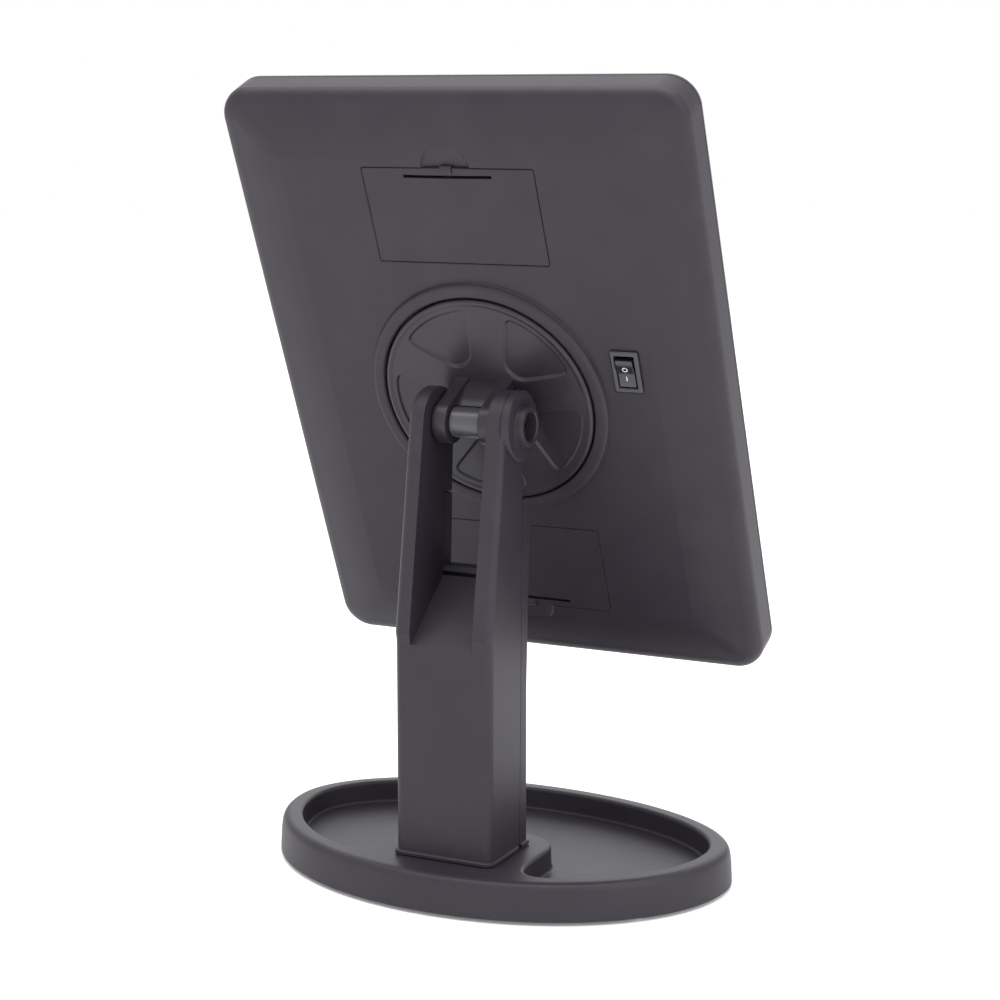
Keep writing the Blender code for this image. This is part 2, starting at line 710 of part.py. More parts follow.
def switch_rocker():
    """Two-facet rocker about a cross axis at its own origin."""
    rise = 5.3 * math.tan(math.radians(ROCKER_THROW))
    valley = -1.0 - ROCKER_PIVOT
    side = [(-5.3, valley - rise), (0, valley), (5.3, valley - rise), (5.0, 0.9), (-5.0, 0.9)]
    body = moved(plate("rocker", [side], -3.05, 3.05), ACROSS)
    return soften(body, 0.3, 2, lambda e: e.calc_face_angle(0.0) > 1.0)


def build():
    clear_scene()
    body_grey = material("shell_plastic", (0.078, 0.072, 0.084), 0.55)
    inner_grey = material("inner_plastic", (0.05, 0.05, 0.055), 0.6)
    black = material("black_plastic", (0.012, 0.012, 0.013), 0.35)
    rubber = material("rubber_pad", (0.02, 0.02, 0.02), 0.9)
    steel = material("steel", (0.55, 0.55, 0.56), 0.35, 1.0)
    brass = material("brass", (0.75, 0.58, 0.28), 0.3, 1.0)
    mirror = material("mirror_glass", (0.85, 0.87, 0.88), 0.03, 1.0)
    frosted = material("frosted_plastic", (0.85, 0.85, 0.83), 0.5)
    board_green = material("circuit_board", (0.02, 0.16, 0.07), 0.5)
    strip_white = material("light_strip", (0.8, 0.8, 0.76), 0.45)
    cell_skin = material("cell_jacket", (0.08, 0.09, 0.11), 0.35)
    red = material("wire_red", (0.5, 0.02, 0.02), 0.5)

    # foot and column
    finish(base_tray(), "base_tray", body_grey)
    finish(bottom_cover(), "base_bottom_cover", inner_grey)
    finish(plate("ballast", [rounded_rectangle(56, 24, 20, (0, -14))], 2.8, 4.0), "ballast_plate", steel)
    finish(plate("pad", [[(x * 0.8, y * 0.8) for x, y in foot_outline(12, 48)]], 0, 1.0), "non_slip_pad", rubber)
    for index, (x, y) in enumerate(BASE_SCREWS, 1):
        piece = shifted(screw("base_screw", 2.8, 0.8, 1.1, 7.0), x, y, 0.25)
        finish(piece, f"base_screw_{index}", steel, origin=(x, y, 0))
    for index, x in enumerate(FOOT_SCREW_X, 1):
        piece = shifted(screw("foot_screw", 3.2, 1.6, 1.1, 11.0), x, FOOT_SCREW_Y, 10.2)
        finish(piece, f"foot_screw_{index}", steel, origin=(x, FOOT_SCREW_Y, 10.2))
    finish(column_rear_shell(), "column_rear_shell", body_grey)
    finish(column_front_cover(), "column_front_cover", body_grey)
    for index, z in enumerate(COVER_SCREW_Z, 1):
        piece = moved(screw("cover_screw", 2.8, 0.9, 1.1, 12.0), ALONG_Y)
        start = nose_y(z) + 0.05
        finish(shifted(piece, 0, start, z), f"cover_screw_{index}", steel, origin=(0, start, z))
    pin_origin = (0, PIN_Y, PIN_Z)
    finish(lying(pivot_bolt(), PIN_Y, PIN_Z), "pivot_bolt", steel, origin=pin_origin)
    finish(lying(pivot_nut(), PIN_Y, PIN_Z), "pivot_nut", steel, origin=pin_origin)
    for name, side in (("left", 1), ("right", -1)):
        ends = sorted((side * 11.2, side * 11.7))
        washer = tube("washer", 6.5, PIN_HOLE_R, *ends)
        finish(lying(washer, PIN_Y, PIN_Z), f"friction_washer_{name}", rubber, origin=pin_origin)

    # swivel bracket, tilting about the pin
    tilt = empty("tilt_axis", Matrix.Translation(PIN))
    finish(swivel_disc(), "swivel_disc", body_grey, FACE_FRAME, (0, 0, -PIN_HEIGHT), tilt)
    sleeve = lying(tube("sleeve", SLEEVE_R, PIN_HOLE_R, -ARM_INNER + GAP, ARM_INNER - GAP), 0, -PIN_HEIGHT)
    finish(sleeve, "pivot_sleeve", steel, FACE_FRAME, (0, 0, -PIN_HEIGHT), tilt)
    for name, side in (("left", 1), ("right", -1)):
        ends = sorted((side * (ARM_INNER + 0.1), side * (ARM_OUTER - 0.1)))
        bushing = lying(tube("bushing", 3.7, PIN_HOLE_R, *ends, segments=24), 0, -PIN_HEIGHT)
        finish(bushing, f"arm_bushing_{name}", black, FACE_FRAME, (0, 0, -PIN_HEIGHT), tilt)
    finish(wave_washer(), "wave_washer", steel, FACE_FRAME, parent=tilt)
    finish(disc_retainer(), "disc_retainer", inner_grey, FACE_FRAME, parent=tilt)
    turn_over = Matrix.Rotation(math.pi, 4, "X")
    for index, (x, y) in enumerate(RETAINER_SCREWS, 1):
        piece = shifted(moved(screw("retainer_screw", 2.6, 1.1, 0.95, 5.0), turn_over), x, y, 8.0)
        finish(piece, f"retainer_screw_{index}", steel, FACE_FRAME, (x, y, 8.0), tilt)

    # mirror head, turning about the disc's axis
    head = empty("swivel_axis", FACE_FRAME, tilt)
    finish(rear_cover(), "rear_cover", body_grey, FACE_FRAME, parent=head)
    finish(front_bezel(), "front_bezel", body_grey, FACE_FRAME, parent=head)
    finish(mirror_glass(), "mirror_glass", mirror, FACE_FRAME, parent=head)
    finish(light_diffuser(), "light_diffuser", frosted, FACE_FRAME, parent=head)
    long_x = HEAD_HALF_W - 10.5
    short_y = HEAD_HALF_H - 10.5
    strips = (("top", 120, 5, True, 0, HEAD_RISE + short_y), ("bottom", 120, 5, True, 0, HEAD_RISE - short_y),
              ("left", 180, 6, False, long_x, HEAD_RISE), ("right", 180, 6, False, -long_x, HEAD_RISE))
    for name, length, count, horizontal, x, y in strips:
        piece = shifted(light_strip(length, count, horizontal), x, y)
        finish(piece, f"light_strip_{name}", strip_white, FACE_FRAME, (x, y, 14), head)
    finish(driver_board(), "driver_board", board_green, FACE_FRAME, parent=head)
    switch_at = (SWITCH_X, SWITCH_V, 0)
    finish(shifted(switch_housing(), *switch_at), "switch_housing", black, FACE_FRAME, switch_at, head)
    for index, offset in enumerate((-3.5, 3.5), 1):
        x, y = SWITCH_X, SWITCH_V + offset
        blade = box("blade", (x - 2.2, y - 0.4, 9.8), (x + 2.2, y + 0.4, 14.5))
        finish(blade, f"switch_terminal_{index}", brass, FACE_FRAME, (x, y, 9.8), head)
    route = [(SWITCH_X, SWITCH_V + 4.4, 12.0), (SWITCH_X, 20.5, 12.0), (SWITCH_X + 3, 24.0, 11.0),
             (SWITCH_X + 6, 26.0, 10.2), (SWITCH_X + 8, 28.6, 10.0)]
    finish(wire("wire", route, 0.55), "switch_wire", red, FACE_FRAME, parent=head)

    pivot = FACE_FRAME @ Matrix.Translation(Vector((SWITCH_X, SWITCH_V, ROCKER_PIVOT)) * MM)
    pressed = pivot @ Matrix.Rotation(math.radians(-ROCKER_THROW), 4, "X")
    finish(switch_rocker(), "switch_rocker", black, pressed, parent=head)

    for word, side in (("upper", 1), ("lower", -1)):
        finish(battery_tub(side), f"battery_tray_{word}", inner_grey, FACE_FRAME, parent=head)
        mid = side * (LID_INNER + LID_H / 2)
        for index, offset in enumerate((-CELL_PITCH / 2, CELL_PITCH / 2), 1):
            flip = index == 2
            sign = -1 if flip else 1
            y = mid + offset
            cell = shifted(battery_cell(flip), sign * 3.2, y, CELL_DEPTH)
            finish(cell, f"battery_cell_{word}_{index}", cell_skin, FACE_FRAME, (0, y, CELL_DEPTH), head)
            coil = contact_spring()
            if flip:
                moved(coil, Matrix.Rotation(math.pi, 4, "Z"))
            start = -sign * (TUB_HALF_W - 1.2 - 0.75)
            shifted(coil, start, y, CELL_DEPTH)
            finish(coil, f"contact_spring_{word}_{index}", steel, FACE_FRAME, (start, y, CELL_DEPTH), head)
            inner = TUB_HALF_W - 1.2 - 0.3
            single = box("plate", (inner - 0.35, y - 5.5, 4.5), (inner, y + 5.5, 14.0))
            finish(single, f"contact_plate_{word}_{index}", steel, FACE_FRAME, (inner, y, CELL_DEPTH), head)
        bridge = box("bridge", (-inner, mid - 13.5, 4.5), (-inner + 0.35, mid + 13.5, 14.0))
        finish(bridge, f"contact_bridge_{word}", steel, FACE_FRAME, (-inner, mid, CELL_DEPTH), head)
        hinge = (0, side * (LID_INNER + 0.2), LID_PROUD)
        finish(battery_lid(side), f"battery_lid_{word}", body_grey, FACE_FRAME, hinge, head)


build()
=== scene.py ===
import json
import math

import bmesh
import bpy
import numpy as np
from mathutils import Matrix, Vector


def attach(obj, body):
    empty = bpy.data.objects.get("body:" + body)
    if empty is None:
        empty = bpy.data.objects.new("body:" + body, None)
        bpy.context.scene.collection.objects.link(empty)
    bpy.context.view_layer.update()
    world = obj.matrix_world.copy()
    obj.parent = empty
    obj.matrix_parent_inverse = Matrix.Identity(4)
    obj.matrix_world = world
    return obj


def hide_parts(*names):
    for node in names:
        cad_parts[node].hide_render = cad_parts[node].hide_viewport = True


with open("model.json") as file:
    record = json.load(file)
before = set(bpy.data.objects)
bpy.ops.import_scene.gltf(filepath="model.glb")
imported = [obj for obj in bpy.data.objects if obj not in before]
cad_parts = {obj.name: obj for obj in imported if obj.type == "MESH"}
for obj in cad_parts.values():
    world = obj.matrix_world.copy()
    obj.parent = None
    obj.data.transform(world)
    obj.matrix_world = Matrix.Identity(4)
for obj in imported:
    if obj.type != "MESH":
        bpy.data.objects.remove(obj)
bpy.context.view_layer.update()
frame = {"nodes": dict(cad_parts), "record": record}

MM = 0.001

# ---- mirror head, in mm; depth runs from the back plane towards the glass ----
HEAD_LEAN = 22.92
DISC_CENTRE = (0.0, 1.44, 171.72)
HALF_W = 86.2
HALF_H = 112.0
RISE = 1.0
CORNER = 11.0
DEPTH = 21.0
SPLIT = 16.9
GLASS_FRONT = 19.6
SHELL_WALL = 2.0
CROWN = ((0.0, 8.4), (0.45, 6.7), (1.6, 5.3), (3.4, 4.3), (6.0, 3.5), (11.0, 2.1), (17.0, 0.8), (23.0, 0.0))
LID_W = 64.0
LID_H = 34.9
LID_INNER = 52.45
LID_PROUD = 0.1
LID_WALL = 1.6
SLOT_RISE = 31.9
SLOT_W = 32.9
SWITCH_AT = (-53.9, 13.9)
SWITCH_HALF = (5.2, 7.95)
PRESS = 9.0
ROCKER_HALF = 5.3
ROLL = 0.085
ROLL_START = 2.6
THUMB_R = 9.1

# ---- swivel disc and tilt pin ----
PIN_HEIGHT = 17.0
DISC_R = 39.5
FACE = -1.9
SPOKES = 5
SPOKE_HALF = (6.2, 7.2)
SPOKE_TURN = 9.0
HUB_R = 7.6
ARM = (6.1, 10.9)
ARM_ROOT = 8.6
SLEEVE_R = 5.4
PIN_R = 2.4

# ---- column ----
POST_HALF = 18.5
POST_REAR = 39.8
POST_FRONT = 10.3
POST_NOSE = 7.7
SHOULDER = 92.0
EAR_R = 12.0
EAR_BOSS = 4.6
FORK_HALF = 12.0
TONGUE = 2.8
SEAM_LOW = (16.2, 14.65)
SEAM_HIGH = (14.2, 139.0)
LIP_Z = 113.5
GAP = 0.3

# ---- foot ----
FOOT_A = 86.8
FOOT_REAR = 65.1
FOOT_FRONT = 50.2
FOOT_WIDEST = -9.7
FOOT_TOP = 14.35
FOOT_LOW = 1.2
RIM_W = 8.3
TRAY_FLOOR = 6.0
ISLAND_HALF = 28.0
ISLAND_FRONT = -1.0
ISLAND_CORNER = 14.0
ISLAND_MEETS_RIM = 43.4
EASE_REACH = 22
EASE_PASSES = 220

HEAD = Matrix.Translation(Vector(DISC_CENTRE) * MM) @ Matrix.Rotation(math.radians(90 - HEAD_LEAN), 4, "X")
ACROSS = Matrix(((0, 0, 1, 0), (1, 0, 0, 0), (0, 1, 0, 0), (0, 0, 0, 1)))
ALONG_Y = Matrix(((1, 0, 0, 0), (0, 0, 1, 0), (0, -1, 0, 0), (0, 0, 0, 1)))
PIN = HEAD @ Vector((0, 0, -PIN_HEIGHT * MM)) / MM


# ------------------------------------------------------------------ mesh tools
def from_bmesh(bm, name):
    bmesh.ops.remove_doubles(bm, verts=bm.verts, dist=2e-6)
    bmesh.ops.dissolve_degenerate(bm, dist=1e-6, edges=bm.edges)
    bmesh.ops.recalc_face_normals(bm, faces=bm.faces)
    mesh = bpy.data.meshes.new(name)
    bm.to_mesh(mesh)
    bm.free()
    obj = bpy.data.objects.new(name, mesh)
    bpy.context.scene.collection.objects.link(obj)
    return obj


def baked(obj):
    bpy.context.view_layer.update()
    mesh = bpy.data.meshes.new_from_object(obj.evaluated_get(bpy.context.evaluated_depsgraph_get()))
    bm = bmesh.new()
    bm.from_mesh(mesh)
    name = obj.name
    bpy.data.objects.remove(obj, do_unlink=True)
    bpy.data.meshes.remove(mesh)
    return from_bmesh(bm, name)


def moved(obj, matrix):
    obj.data.transform(matrix)
    return obj


def shifted(obj, x=0.0, y=0.0, z=0.0):
    return moved(obj, Matrix.Translation(Vector((x, y, z)) * MM))


def join(target, other, operation):
    modifier = target.modifiers.new(operation.title(), "BOOLEAN")
    modifier.operation = operation
    modifier.solver = "EXACT"
    modifier.object = other
    result = baked(target)
    bpy.data.objects.remove(other, do_unlink=True)
    return result


def cut(target, *cutters):
    for cutter in cutters:
        target = join(target, cutter, "DIFFERENCE")
    return target


def add(target, *others):
    for other in others:
        target = join(target, other, "UNION")
    return target


def loft(loops, ring=False):
    """Skin through matching closed loops; the ends are capped, or joined to each other for a ring."""
    bm = bmesh.new()
    rows = [[bm.verts.new(Vector(point) * MM) for point in loop] for loop in loops]
    pairs = list(zip(rows, rows[1:]))
    if ring:
        pairs.append((rows[-1], rows[0]))
    else:
        bm.faces.new(rows[0])
        bm.faces.new(rows[-1])
    for low, high in pairs:
        for index, vert in enumerate(low):
            bm.faces.new((low[index - 1], vert, high[index], high[index - 1]))
    return from_bmesh(bm, "loft")


def raised(outline, height):
    return [(x, y, height) for x, y in outline]


def plate(outline, low, high):
    return loft([raised(outline, low), raised(outline, high)])


def box(low, high):
    (x0, y0, z0), (x1, y1, z1) = low, high
    return plate([(x0, y0), (x1, y0), (x1, y1), (x0, y1)], z0, z1)


def turned(profile, steps=96):
    """Solid of revolution about local Z from a half section of (radius, height); ends at radius 0 close it."""
    bm = bmesh.new()
    rows = []
    for radius, height in profile:
        if radius == 0:
            rows.append([bm.verts.new((0, 0, height * MM))])
        else:
            rows.append([bm.verts.new((radius * MM * math.cos(a), radius * MM * math.sin(a), height * MM))
                         for a in (2 * math.pi * k / steps for k in range(steps))])
    closed = len(rows[0]) > 1 and len(rows[-1]) > 1
    for low, high in list(zip(rows, rows[1:])) + ([(rows[-1], rows[0])] if closed else []):
        for index in range(steps):
            corners = [low[index % len(low)], low[(index + 1) % len(low)], high[(index + 1) % len(high)],
                       high[index % len(high)]]
            unique = [v for n, v in enumerate(corners) if v not in corners[:n]]
            if len(unique) > 2:
                bm.faces.new(unique)
    return from_bmesh(bm, "turned")


def soften(obj, width, segments, chosen):
    bm = bmesh.new()
    bm.from_mesh(obj.data)
    edges = [edge for edge in bm.edges if chosen(edge)]
    bmesh.ops.bevel(bm, geom=edges, offset=width * MM, segments=segments, profile=0.5, affect="EDGES",
                    clamp_overlap=True)
    bpy.data.objects.remove(obj, do_unlink=True)
    return from_bmesh(bm, "soft")


def lying(obj, y=0.0, z=0.0):
    """Turn a piece made along local Z so that it runs along X."""
    return shifted(moved(obj, ACROSS), 0, y, z)


def side_solid(outline, half_w):
    return moved(plate(outline, -half_w, half_w), ACROSS)


# ------------------------------------------------------------------ outlines
def rounded_rectangle(half_w, half_h, corner, centre=(0, 0), segments=14):
    points = []
    for sx, sy, start in ((1, 1, 0), (-1, 1, 90), (-1, -1, 180), (1, -1, 270)):
        for step in range(segments + 1):
            angle = math.radians(start + 90 * step / segments)
            points.append((centre[0] + sx * (half_w - corner) + corner * math.cos(angle),
                           centre[1] + sy * (half_h - corner) + corner * math.sin(angle)))
    return points


def foot_outline(inset, segments=160):
    points = []
    for step in range(segments):
        angle = 2 * math.pi * step / segments
        reach = FOOT_REAR if math.sin(angle) > 0 else FOOT_FRONT
        points.append(((FOOT_A - inset) * math.cos(angle), FOOT_WIDEST + (reach - inset) * math.sin(angle)))
    return points


def head_loop(inset, depth, segments=14):
    corner = max(CORNER - inset, 4.0)
    return raised(rounded_rectangle(HALF_W - inset, HALF_H - inset, corner, (0, RISE), segments), depth)


def arc(centre, radius, start, end, steps):
    """Points of an arc, angles in degrees."""
    angles = [math.radians(start + (end - start) * k / steps) for k in range(steps + 1)]
    return [(centre[0] + radius * math.cos(a), centre[1] + radius * math.sin(a)) for a in angles]


def offset(outline, distance):
    """Grow a counter-clockwise outline by a small distance, along its point normals."""
    pts = np.array(outline)
    ahead = np.roll(pts, -1, 0) - pts
    behind = pts - np.roll(pts, 1, 0)
    ahead /= np.linalg.norm(ahead, axis=1)[:, None]
    behind /= np.linalg.norm(behind, axis=1)[:, None]
    middle = ahead + behind
    middle /= np.linalg.norm(middle, axis=1)[:, None]
    normal = np.stack([middle[:, 1], -middle[:, 0]], 1)
    stretch = 1 / np.maximum((normal * np.stack([ahead[:, 1], -ahead[:, 0]], 1)).sum(1), 0.5)
    return [tuple(p) for p in pts + normal * (distance * stretch)[:, None]]


def relaxed(outline, spacing, window):
    """Resample a closed outline evenly and average along it, which rounds its corners."""
    pts = np.array(list(outline) + [outline[0]])
    run = np.concatenate([[0], np.cumsum(np.linalg.norm(np.diff(pts, axis=0), axis=1))])
    count = int(run[-1] / spacing)
    at = np.linspace(0, run[-1], count, endpoint=False)
    even = np.stack([np.interp(at, run, pts[:, 0]), np.interp(at, run, pts[:, 1])], 1)
    reach = max(int(window / spacing / 2), 1)
    for _ in range(2):
        even = sum(np.roll(even, k, 0) for k in range(-reach, reach + 1)) / (2 * reach + 1)
    return [tuple(p) for p in even]


def flowing(points, per):
    """Smooth curve through points, with chord-length tangents."""
    pts = np.array(points, float)
    run = np.concatenate([[0], np.cumsum(np.linalg.norm(np.diff(pts, axis=0), axis=1))])
    slopes = np.gradient(pts, run, axis=0)
    out = []
    for k in range(len(pts) - 1):
        span = run[k + 1] - run[k]
        for step in range(per):
            t = step / per
            out.append(tuple((2 * t**3 - 3 * t**2 + 1) * pts[k] + (t**3 - 2 * t**2 + t) * span * slopes[k]
                             + (3 * t**2 - 2 * t**3) * pts[k + 1] + (t**3 - t**2) * span * slopes[k + 1]))
    return out + [tuple(pts[-1])]


# ------------------------------------------------------------------ materials
def node(tree, kind, place, **values):
    item = tree.nodes.new(kind)
    item.location = place
    for key, value in values.items():
        if hasattr(item, key):
            setattr(item, key, value)
        else:
            item.inputs[key].default_value = value
    return item


def surface(name, dark, light, rough, patch=60.0, grain=2600.0, bump=0.03, metallic=0.0, stretch=(1, 1, 1), **extra):
    """Moulded or metal surface: slow colour drift, uneven gloss and fine grain, from noise in the piece's own space."""
    mat = bpy.data.materials.new(name)
    mat.use_nodes = True
    tree = mat.node_tree
    shader = tree.nodes["Principled BSDF"]
    shader.inputs["Metallic"].default_value = metallic
    for key, value in extra.items():
        shader.inputs[key.replace("_", " ")].default_value = value
    place = node(tree, "ShaderNodeTexCoord", (-1300, 0))
    scale = node(tree, "ShaderNodeMapping", (-1100, 0), Scale=stretch)
    tree.links.new(place.outputs["Object"], scale.inputs["Vector"])
    drift = node(tree, "ShaderNodeTexNoise", (-850, 250), Scale=patch, Detail=4.0)
    fine = node(tree, "ShaderNodeTexNoise", (-850, -150), Scale=grain, Detail=2.0)
    for item in (drift, fine):
        tree.links.new(scale.outputs["Vector"], item.inputs["Vector"])
    tint = node(tree, "ShaderNodeValToRGB", (-550, 250))
    tint.color_ramp.elements[0].color = (*dark, 1)
    tint.color_ramp.elements[1].color = (*light, 1)
    tint.color_ramp.elements[0].position = 0.3
    tint.color_ramp.elements[1].position = 0.7
    tree.links.new(drift.outputs["Fac"], tint.inputs["Fac"])
    tree.links.new(tint.outputs["Color"], shader.inputs["Base Color"])
    gloss = node(tree, "ShaderNodeMapRange", (-550, -50))
    gloss.inputs["To Min"].default_value = rough[0]
    gloss.inputs["To Max"].default_value = rough[1]
    tree.links.new(fine.outputs["Fac"], gloss.inputs["Value"])
    tree.links.new(gloss.outputs["Result"], shader.inputs["Roughness"])
    relief = node(tree, "ShaderNodeBump", (-300, -300), Strength=bump * 10, Distance=0.00004)
    tree.links.new(fine.outputs["Fac"], relief.inputs["Height"])
    tree.links.new(relief.outputs["Normal"], shader.inputs["Normal"])
    return mat


MATERIALS = {
    "shell_plastic": surface("soft_grey_plastic", (0.020, 0.0165, 0.024), (0.025, 0.021, 0.029), (0.42, 0.54),
                             Specular_IOR_Level=0.32),
    "inner_plastic": surface("inner_grey_plastic", (0.045, 0.045, 0.049), (0.056, 0.055, 0.06), (0.5, 0.65)),
    "black_plastic": surface("glossy_black_plastic", (0.009, 0.0075, 0.011), (0.014, 0.012, 0.017), (0.2, 0.32),
                             Specular_IOR_Level=0.75),
    "rubber_pad": surface("rubber", (0.014, 0.014, 0.014), (0.026, 0.026, 0.025), (0.8, 0.95), grain=1500, bump=0.09),
    "steel": surface("brushed_steel", (0.48, 0.48, 0.49), (0.6, 0.6, 0.61), (0.25, 0.42), metallic=1.0,
                     stretch=(1, 14, 14), grain=700),
    "brass": surface("brass", (0.66, 0.5, 0.22), (0.8, 0.63, 0.32), (0.22, 0.36), metallic=1.0),
    "mirror_glass": surface("silvered_glass", (0.84, 0.86, 0.87), (0.88, 0.9, 0.91), (0.0, 0.02), metallic=1.0,
                            bump=0.0, patch=8),
    "frosted_plastic": surface("frosted_white", (0.78, 0.78, 0.76), (0.86, 0.86, 0.84), (0.45, 0.6), patch=200),
    "circuit_board": surface("circuit_board", (0.012, 0.12, 0.05), (0.03, 0.2, 0.09), (0.35, 0.6), patch=400),
    "light_strip": surface("white_board", (0.72, 0.72, 0.68), (0.84, 0.84, 0.8), (0.35, 0.5), patch=300),
    "cell_jacket": surface("cell_jacket", (0.05, 0.06, 0.075), (0.1, 0.11, 0.13), (0.25, 0.4), patch=120),
    "wire_red": surface("wire_jacket", (0.42, 0.015, 0.015), (0.56, 0.03, 0.025), (0.4, 0.55), patch=500),
}
SATIN = surface("satin_grey_plastic", (0.022, 0.0185, 0.025), (0.027, 0.023, 0.03), (0.28, 0.38),
                Specular_IOR_Level=0.36)
PAINTED = surface("painted_steel", (0.07, 0.067, 0.07), (0.085, 0.081, 0.085), (0.26, 0.36), metallic=0.35)
BLACK_OXIDE = surface("black_oxide_steel", (0.012, 0.012, 0.013), (0.022, 0.022, 0.023), (0.35, 0.5), metallic=0.6)
PRINT = surface("white_print", (0.62, 0.62, 0.62), (0.74, 0.74, 0.74), (0.45, 0.6), patch=900)

for part in frame["record"]["subparts"]:
    item = frame["nodes"][part["node"]]
    item.data.materials.clear()
    item.data.materials.append(MATERIALS[part["material_slot"]])


def finish(obj, name, body, slot, nodes=(), matrix=None, look=None, sharp=38):
    """Place a piece, smooth its curved faces, give it its surface and hang it on its body."""
    if matrix:
        moved(obj, matrix)
    obj.name = name
    obj.data.name = name
    obj.data.shade_smooth()
    obj.data.set_sharp_from_angle(angle=math.radians(sharp))
    weigh = obj.modifiers.new("Flat faces lead", "WEIGHTED_NORMAL")
    weigh.keep_sharp = True
    weigh.weight = 70
    bpy.context.view_layer.update()
    mesh = bpy.data.meshes.new_from_object(obj.evaluated_get(bpy.context.evaluated_depsgraph_get()))
    obj.modifiers.clear()
    obj.data = mesh
    mesh.name = name
    mesh.materials.clear()
    mesh.materials.append(look or MATERIALS[slot])
    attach(obj, body)
    if nodes:
        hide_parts(*nodes)
    return obj


# ------------------------------------------------------------------ mirror head
def lid_outline(side, grow, corner=0.7):
    mid = side * (LID_INNER + LID_H / 2)
    return rounded_rectangle(LID_W / 2 + grow, LID_H / 2 + grow, corner, (0, mid), 4)


def thumb_bowl(side):
    """Half-moon scoop whose floor falls towards the lid edge."""
    rim = [(9.7, -0.4), (THUMB_R, 0.0), (8.9, 0.3), (8.6, 0.65), (8.1, 0.85), (6.0, 0.95), (3.0, 1.0), (0, 1.0)]
    bowl = turned([(0, -3.0), (9.7, -3.0)] + rim, 72)
    for vert in bowl.data.vertices:
        if vert.co.z > 0.0002:
            near_lid = 1 - side * vert.co.y / (THUMB_R * MM)
            vert.co.z *= min(max(0.6 + 0.8 * near_lid, 0.6), 1.55)
    return bowl


def rear_cover():
    steps = [(0.0, SPLIT), (0.0, 13.0)] + flowing(CROWN, 4)
    outer = loft([head_loop(inset, depth) for inset, depth in steps])
    core = [(SHELL_WALL, SPLIT + 5)] + [(i + SHELL_WALL, d + SHELL_WALL) for i, d in CROWN]
    body = cut(outer, loft([head_loop(i, d, 6) for i, d in core]))
    body = cut(body, turned([(0, -5), (43.4, -5), (43.4, 8), (0, 8)], 96))
    outside = [(45.6, 0.25), (45.35, -0.15), (45.1, -0.6), (45.0, -1.2), (44.7, -1.75), (44.2, -2.1), (43.4, -2.2)]
    inside = [(41.2, -2.2), (40.6, -2.0), (40.2, -1.6), (40.1, -1.0), (40.1, 1.8), (12.4, 1.8),
              (12.4, 3.6), (45.0, 3.6)]
    body = add(body, turned(outside + inside + [(45.6, 1.2)], 144))
    for side in (-1, 1):
        flare = [(0.3, -3), (0.3, -0.02), (0.18, 0.12), (0.0, 0.3), (0.0, 6)]
        body = cut(body, loft([raised(lid_outline(side, GAP * 0.5 + f, 0.9), d) for f, d in flare]))
        body = cut(body, shifted(thumb_bowl(side), 0, side * (LID_INNER + LID_H)))
    x, y = SWITCH_AT
    return cut(body, box((x - 4.7, y - 7.2, -3), (x + 4.7, y + 7.2, 6)))


def front_bezel():
    rolled = [(3.4 - 3.4 * math.cos(math.radians(a)), DEPTH - 3.4 + 3.4 * math.sin(math.radians(a)))
              for a in range(0, 91, 9)]
    steps = [(0.15, SPLIT + GAP), (0.0, SPLIT + GAP + 0.15)] + rolled + [(6.9, DEPTH), (7.3, DEPTH - 0.1),
             (7.55, DEPTH - 0.4), (7.6, GLASS_FRONT + GAP), (3.2, GLASS_FRONT + GAP), (3.2, SPLIT + GAP)]
    return loft([head_loop(inset, depth) for inset, depth in steps], ring=True)


def window_places():
    """Centres and half sizes of the light windows round the mirror."""
    reach_x, reach_y = HALF_W - 13.0, HALF_H - 13.0
    places = []
    for k in range(7):
        v = RISE + (k - 3) * 27.0
        places += [(reach_x, v, 2.6, 9.5), (-reach_x, v, 2.6, 9.5)]
    for k in range(4):
        u = (k - 1.5) * 31.0
        places += [(u, RISE + reach_y, 11.0, 2.6), (u, RISE - reach_y, 11.0, 2.6)]
    return places


def mirror_glass():
    loops = ((0.25, 17.6), (0.0, 17.85), (0.0, 19.35), (0.25, GLASS_FRONT))
    body = loft([raised(rounded_rectangle(HALF_W - 4 - i, HALF_H - 4 - i, 7.5, (0, RISE)), d) for i, d in loops])
    for x, y, half_w, half_h in window_places():
        body = cut(body, plate(rounded_rectangle(half_w, half_h, 1.6, (x, y), 6), 10, 30))
    return body


def light_windows():
    bm = bmesh.new()
    for x, y, half_w, half_h in window_places():
        loops = ((0.12, 17.65), (0.12, 19.4), (0.3, 19.52))
        panel = loft([raised(rounded_rectangle(half_w - i, half_h - i, 1.5, (x, y), 6), d) for i, d in loops])
        bm.from_mesh(panel.data)
        bpy.data.objects.remove(panel, do_unlink=True)
    return from_bmesh(bm, "windows")


